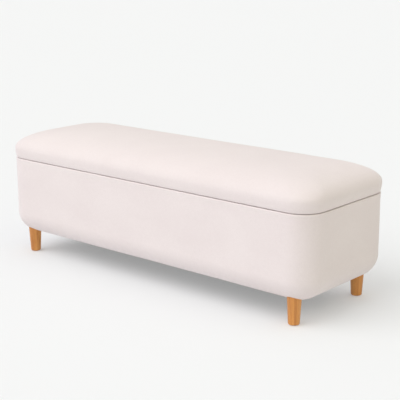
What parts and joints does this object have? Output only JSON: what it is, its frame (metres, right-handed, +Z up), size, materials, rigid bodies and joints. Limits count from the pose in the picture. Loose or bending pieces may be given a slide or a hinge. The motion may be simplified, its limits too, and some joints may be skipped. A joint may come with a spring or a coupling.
{
  "type": "storage ottoman bench",
  "caption": "Long upholstered storage ottoman: a rounded fabric box on turned wooden legs, with a padded crowned lid hinged along the back.",
  "frame": {"origin": "on the floor, under the middle of the bench", "axes": "+X along the length to the right as seen from the front, +Y from the front to the hinged back, +Z up"},
  "size_m": [1.3, 0.442, 0.445],
  "materials": {
    "upholstery_fabric": "short smooth pile, ivory",
    "foam": "open-cell polyurethane foam",
    "lining_cloth": "plain woven lining, grey",
    "dust_felt": "black non-woven cloth",
    "plywood": "raw plywood",
    "pine": "planed pine",
    "beech": "satin lacquered, honey",
    "zinc_steel": "zinc plated",
    "strut_enamel": "satin black enamel",
    "strut_chrome": "ground and polished rod",
    "glide_nylon": "moulded nylon",
    "rubber": "moulded rubber"
  },
  "bodies": {
    "base": {"base_cover": "upholstery_fabric", "base_padding": "foam", "front_panel": "plywood", "back_panel": "plywood", "left_panel": "plywood", "right_panel": "plywood", "corner_front_left": "plywood", "corner_front_right": "plywood", "corner_back_left": "plywood", "corner_back_right": "plywood", "hinge_rail": "pine", "floor_board": "plywood", "front_rail": "pine", "back_rail": "pine", "left_rail": "pine", "right_rail": "pine", "centre_stretcher": "pine", "leg_block_front_left": "pine", "leg_block_front_right": "pine", "leg_block_back_left": "pine", "leg_block_back_right": "pine", "base_lining": "lining_cloth", "dust_cover": "dust_felt", "leg_front_left": "beech", "leg_front_right": "beech", "leg_back_left": "beech", "leg_back_right": "beech", "hanger_bolts": "zinc_steel", "leg_nuts": "zinc_steel", "glide_front_left": "glide_nylon", "glide_front_right": "glide_nylon", "glide_back_left": "glide_nylon", "glide_back_right": "glide_nylon", "hinge_base_left": "zinc_steel", "hinge_base_middle": "zinc_steel", "hinge_base_right": "zinc_steel", "hinge_pins": "zinc_steel", "hinge_screws_base": "zinc_steel", "strut_block_left": "pine", "strut_block_right": "pine", "strut_bracket_base_left": "zinc_steel", "strut_bracket_base_right": "zinc_steel", "strut_screws_base": "zinc_steel", "lid_bumpers": "rubber"},
    "lid": {"lid_cover": "upholstery_fabric", "lid_foam": "foam", "lid_board": "plywood", "lid_lining": "lining_cloth", "hinge_lid_left": "zinc_steel", "hinge_lid_middle": "zinc_steel", "hinge_lid_right": "zinc_steel", "hinge_screws_lid": "zinc_steel", "strut_bracket_lid_left": "zinc_steel", "strut_bracket_lid_right": "zinc_steel", "strut_screws_lid": "zinc_steel"},
    "strut_tube_left": {"strut_tube_left": "strut_enamel"},
    "strut_rod_left": {"strut_rod_left": "strut_chrome"},
    "strut_tube_right": {"strut_tube_right": "strut_enamel"},
    "strut_rod_right": {"strut_rod_right": "strut_chrome"}
  },
  "joints": [
    {"name": "lid_hinge", "type": "hinge", "parent": "base", "child": "lid", "pos_m": [0, 0.218, 0.347], "axis": [-1, 0, 0], "range_deg": [0, 80]},
    {"name": "strut_tube_left_swing", "type": "hinge", "parent": "base", "child": "strut_tube_left", "pos_m": [-0.59, 0.15289, 0.1579], "axis": [-1, 0, 0], "range_deg": [0, 40]},
    {"name": "strut_rod_left_swing", "type": "hinge", "parent": "lid", "child": "strut_rod_left", "pos_m": [-0.59, 0.01849, 0.33305], "axis": [-1, 0, 0], "range_deg": [-40, 0]},
    {"name": "strut_tube_right_swing", "type": "hinge", "parent": "base", "child": "strut_tube_right", "pos_m": [0.59, 0.15289, 0.1579], "axis": [-1, 0, 0], "range_deg": [0, 40]},
    {"name": "strut_rod_right_swing", "type": "hinge", "parent": "lid", "child": "strut_rod_right", "pos_m": [0.59, 0.01849, 0.33305], "axis": [-1, 0, 0], "range_deg": [-40, 0]}
  ],
  "couplings": [
    {"joint": "strut_tube_left_swing", "follows": "lid_hinge", "ratio": 0.5},
    {"joint": "strut_rod_left_swing", "follows": "lid_hinge", "ratio": -0.5},
    {"joint": "strut_tube_right_swing", "follows": "lid_hinge", "ratio": 0.5},
    {"joint": "strut_rod_right_swing", "follows": "lid_hinge", "ratio": -0.5}
  ]
}
